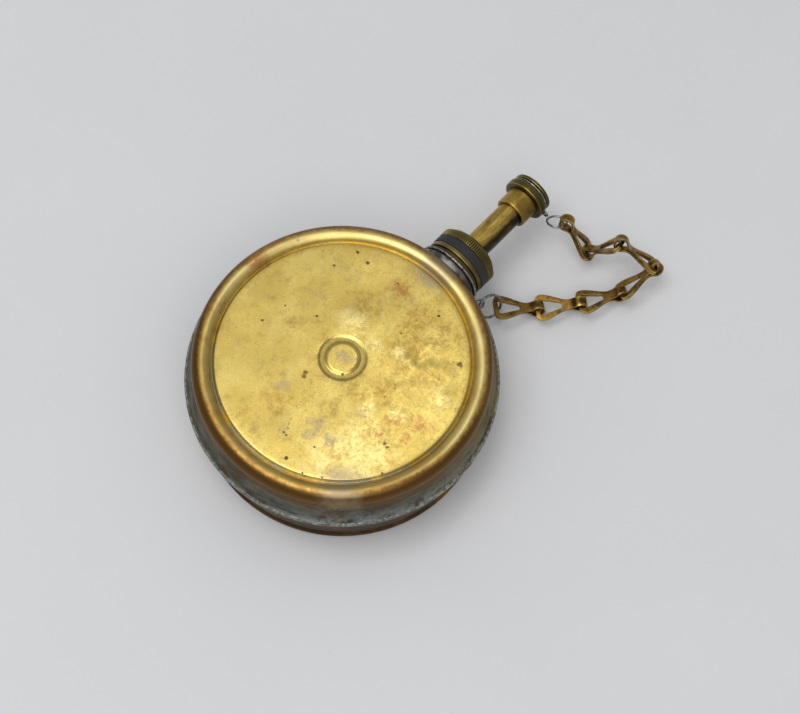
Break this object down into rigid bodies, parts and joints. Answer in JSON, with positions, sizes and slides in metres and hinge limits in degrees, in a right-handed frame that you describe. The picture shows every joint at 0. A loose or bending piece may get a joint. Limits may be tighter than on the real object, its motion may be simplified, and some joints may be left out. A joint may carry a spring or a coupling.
{
  "type": "oil bottle",
  "caption": "Flat round brass oil bottle with soldered dished shells, a screw-in spout with leather washer, a push-on cap and a safety chain of folded links.",
  "frame": {"origin": "centre of the back's foot ring, on the surface that the bottle lies on", "axes": "+Z out of the front panel, +X along the spout towards its cap"},
  "size_m": [0.1358, 0.086, 0.0325],
  "materials": {
    "yellow_brass": "tarnished",
    "brown_brass": "dull",
    "solder": "rough",
    "plate": "worn",
    "turned_brass": "satin",
    "old_leather": "matt",
    "tube_brass": "satin",
    "olive_brass": "tarnished",
    "tan_leather": "matt",
    "steel_wire": "dull",
    "chain_brass": "tarnished"
  },
  "bodies": {
    "flask": {"front_shell": "yellow_brass", "back_shell": "brown_brass", "seam_solder": "solder", "neck_ferrule": "plate", "neck_bush": "turned_brass"},
    "washer": {"washer": "old_leather"},
    "spout": {"spout_base": "turned_brass", "spout_tube": "tube_brass"},
    "cap": {"cap": "olive_brass", "cap_seal": "tan_leather"},
    "cap_wire": {"cap_wire": "steel_wire"},
    "neck_wire": {"neck_wire": "steel_wire"},
    "neck_ring": {"neck_ring": "steel_wire"},
    "link_1": {"link_1": "chain_brass"},
    "link_2": {"link_2": "chain_brass"},
    "link_3": {"link_3": "chain_brass"},
    "link_4": {"link_4": "chain_brass"},
    "link_5": {"link_5": "chain_brass"},
    "link_6": {"link_6": "chain_brass"},
    "link_7": {"link_7": "chain_brass"},
    "cap_ring": {"cap_ring": "steel_wire"}
  },
  "joints": [
    {"name": "washer_slide", "type": "slide", "parent": "flask", "child": "washer", "axis": [1, 0, 0], "range_m": [0, 0.00601]},
    {"name": "spout_turn", "type": "hinge", "parent": "washer", "child": "spout", "pos_m": [0.0498, 0, 0.018], "axis": [1, 0, 0], "range_deg": [0, 2160]},
    {"name": "cap_slide", "type": "slide", "parent": "spout", "child": "cap", "axis": [1, 0, 0], "range_m": [0, 0.012]},
    {"name": "cap_wire_turn", "type": "hinge", "parent": "cap", "child": "cap_wire", "pos_m": [0.07865, 0, 0.018], "axis": [1, 0, 0], "continuous": true},
    {"name": "neck_wire_turn", "type": "hinge", "parent": "flask", "child": "neck_wire", "pos_m": [0.0438, 0, 0.018], "axis": [1, 0, 0], "continuous": true},
    {"name": "neck_ring_swing", "type": "hinge", "parent": "neck_wire", "child": "neck_ring", "pos_m": [0.0459, -0.01073, 0.0098], "axis": [0.7484, 0.1911, 0.6351], "range_deg": [-60, 0]},
    {"name": "link_1_swing", "type": "hinge", "parent": "neck_ring", "child": "link_1", "pos_m": [0.04941, -0.01389, 0.00661], "axis": [0.6496, 0.7408, -0.171], "range_deg": [0, 60]},
    {"name": "link_2_swing", "type": "hinge", "parent": "link_1", "child": "link_2", "pos_m": [0.05842, -0.02228, 0.00444], "axis": [0.638, 0.7651, 0.0871], "range_deg": [0, 60]},
    {"name": "link_3_swing", "type": "hinge", "parent": "link_2", "child": "link_3", "pos_m": [0.06799, -0.03031, 0.00488], "axis": [0.5219, 0.8352, -0.1736], "range_deg": [-45, 60]},
    {"name": "link_4_swing", "type": "hinge", "parent": "link_3", "child": "link_4", "pos_m": [0.07859, -0.03694, 0.00488], "axis": [0.4363, 0.6989, -0.5667], "range_deg": [-45, 60]},
    {"name": "link_5_swing", "type": "hinge", "parent": "link_4", "child": "link_5", "pos_m": [0.0897, -0.03991, 0.00976], "axis": [0.7466, 0.4169, -0.5185], "range_deg": [-25, 60]},
    {"name": "link_6_swing", "type": "hinge", "parent": "link_5", "child": "link_6", "pos_m": [0.0867, -0.02872, 0.01444], "axis": [-0.9362, -0.2052, 0.2852], "range_deg": [0, 40]},
    {"name": "link_7_swing", "type": "hinge", "parent": "link_6", "child": "link_7", "pos_m": [0.08231, -0.02152, 0.00522], "axis": [0.8551, 0.426, -0.2957], "range_deg": [-60, 40]},
    {"name": "cap_ring_swing", "type": "hinge", "parent": "link_7", "child": "cap_ring", "pos_m": [0.08109, -0.01286, 0.01415], "axis": [0.6958, 0.5436, -0.4695], "range_deg": [-90, 0]}
  ],
  "couplings": [
    {"joint": "washer_slide", "follows": "spout_turn", "m_per_rad": 0.00015915}
  ]
}
